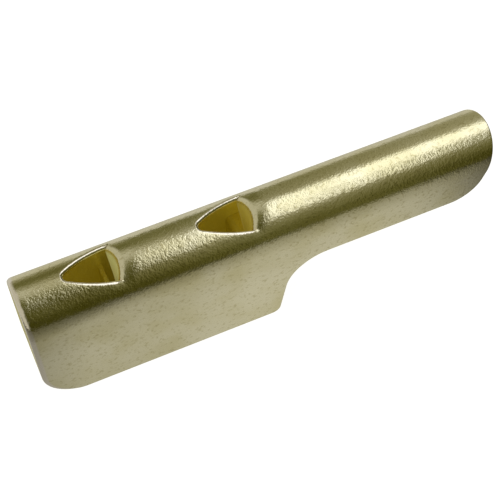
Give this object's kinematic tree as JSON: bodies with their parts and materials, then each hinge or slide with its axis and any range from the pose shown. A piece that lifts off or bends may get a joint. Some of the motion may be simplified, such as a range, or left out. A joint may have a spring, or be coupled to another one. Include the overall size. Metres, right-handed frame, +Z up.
{
  "type": "pea-less brass whistle",
  "caption": "Small pea-less whistle folded from thin brass sheet: round crown with V windows and folded tabs, deep chambers at the tail, shallow mouthpiece.",
  "frame": {"origin": "under the middle of the bounding box, in the plane of the flat underside", "axes": "+X from the closed tail to the mouthpiece, +Y across the flanks, +Z up towards the crown"},
  "size_m": [0.0552, 0.008, 0.0173],
  "materials": {
    "brass_shell": "satin, tumbled",
    "brass_strip": "mill, slightly dull",
    "solder": "satin"
  },
  "bodies": {
    "root": {"body_shell": "brass_shell", "closing_strip": "brass_strip", "front_windway_floor": "brass_strip", "chamber_divider": "brass_strip", "rear_chamber_wall": "brass_strip", "closing_strip_solder": "solder", "inner_solder": "solder"}
  },
  "joints": []
}
